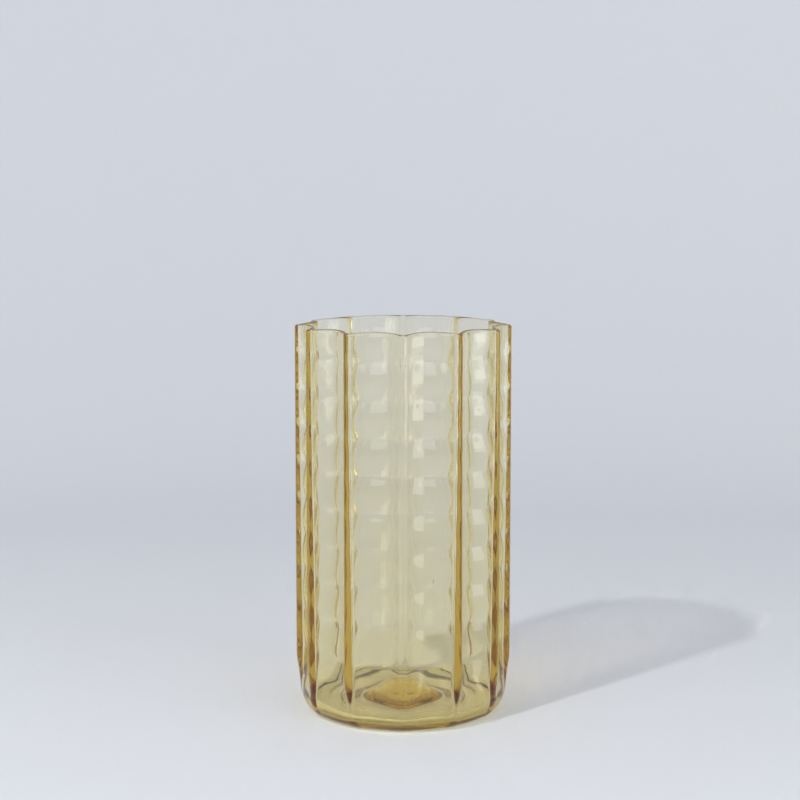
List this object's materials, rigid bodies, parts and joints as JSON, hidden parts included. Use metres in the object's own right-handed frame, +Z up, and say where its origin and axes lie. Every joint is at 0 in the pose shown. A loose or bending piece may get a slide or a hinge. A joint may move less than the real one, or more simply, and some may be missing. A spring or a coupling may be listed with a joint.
{
  "type": "glass vase",
  "caption": "Tall straight vase of honey-amber blown glass with upright concave flutes between narrow ridges, a rounded heel and a thick floor.",
  "frame": {"origin": "on the vase's axis, in the plane that it stands on", "axes": "+Z up along the vase's axis; a ridge lies on the -Y side, which is the pictured front"},
  "size_m": [0.12, 0.12, 0.216],
  "materials": {
    "amber_glass": "clear honey-amber soda-lime glass, fire-polished"
  },
  "bodies": {
    "root": {"blown_body": "amber_glass", "punty_button": "amber_glass"}
  },
  "joints": []
}
